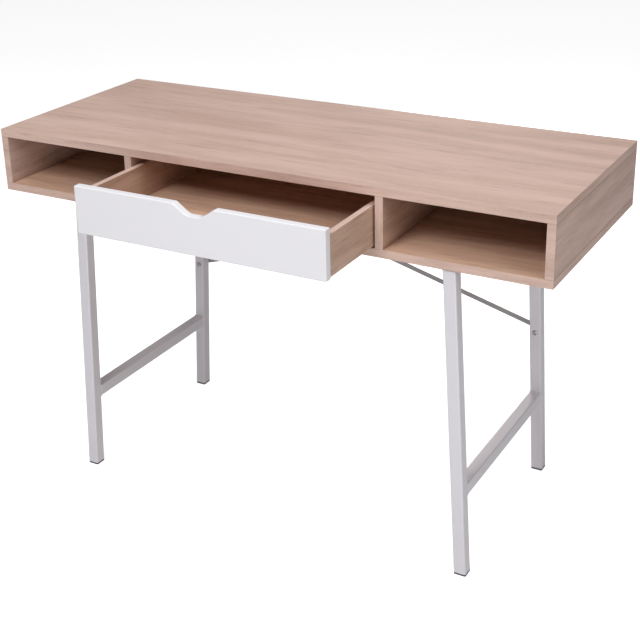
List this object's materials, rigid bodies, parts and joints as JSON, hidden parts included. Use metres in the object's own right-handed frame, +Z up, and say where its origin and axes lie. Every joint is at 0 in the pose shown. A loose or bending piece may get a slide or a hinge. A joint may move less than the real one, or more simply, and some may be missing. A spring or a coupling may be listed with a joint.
{
  "type": "desk",
  "caption": "Writing desk: low oak-look box with open compartments beside a wide central pull-out drawer, on splayed white tube H frames with crossed rear braces.",
  "frame": {"origin": "on the floor under the middle of the whole object at rest, with the drawer open", "axes": "+X to the right of a person sitting at the desk, -Y towards that person, +Z up"},
  "size_m": [1.2, 0.646, 0.76],
  "materials": {
    "oak": "light oak-look laminate, satin",
    "front_white": "white foil-wrapped board, satin",
    "frame_white": "white powder coat, satin",
    "brace_grey": "grey powder coat",
    "zinc": "zinc plated",
    "dark_plastic": "dark moulded plastic",
    "nylon": "white nylon"
  },
  "bodies": {
    "desk": {"back_panel": "oak", "bottom_panel": "oak", "front_left_foot_cap": "dark_plastic", "front_left_leg": "frame_white", "front_left_mounting_plate": "frame_white", "front_left_plate_screw_1": "zinc", "front_left_plate_screw_2": "zinc", "front_left_plate_screw_3": "zinc", "front_right_foot_cap": "dark_plastic", "front_right_leg": "frame_white", "front_right_mounting_plate": "frame_white", "front_right_plate_screw_1": "zinc", "front_right_plate_screw_2": "zinc", "front_right_plate_screw_3": "zinc", "left_brace": "brace_grey", "left_brace_high_bolt": "zinc", "left_brace_high_nut": "zinc", "left_brace_low_bolt": "zinc", "left_brace_low_nut": "zinc", "left_crossbar": "frame_white", "left_divider": "oak", "left_glide_strip": "nylon", "left_kicker_strip": "oak", "left_side_panel": "oak", "left_stop_block": "nylon", "rear_left_foot_cap": "dark_plastic", "rear_left_leg": "frame_white", "rear_left_mounting_plate": "frame_white", "rear_left_plate_screw_1": "zinc", "rear_left_plate_screw_2": "zinc", "rear_left_plate_screw_3": "zinc", "rear_right_foot_cap": "dark_plastic", "rear_right_leg": "frame_white", "rear_right_mounting_plate": "frame_white", "rear_right_plate_screw_1": "zinc", "rear_right_plate_screw_2": "zinc", "rear_right_plate_screw_3": "zinc", "right_brace": "brace_grey", "right_brace_high_bolt": "zinc", "right_brace_high_nut": "zinc", "right_brace_high_spacer": "zinc", "right_brace_low_bolt": "zinc", "right_brace_low_nut": "zinc", "right_brace_low_spacer": "zinc", "right_crossbar": "frame_white", "right_divider": "oak", "right_glide_strip": "nylon", "right_kicker_strip": "oak", "right_side_panel": "oak", "right_stop_block": "nylon", "top_panel": "oak"},
    "drawer": {"drawer_front": "front_white", "drawer_left_side": "oak", "drawer_right_side": "oak", "drawer_back": "oak", "drawer_bottom": "oak"}
  },
  "joints": [
    {"name": "drawer_slide", "type": "slide", "parent": "desk", "child": "drawer", "axis": [0, -1, 0], "range_m": [-0.176, 0.094]}
  ]
}
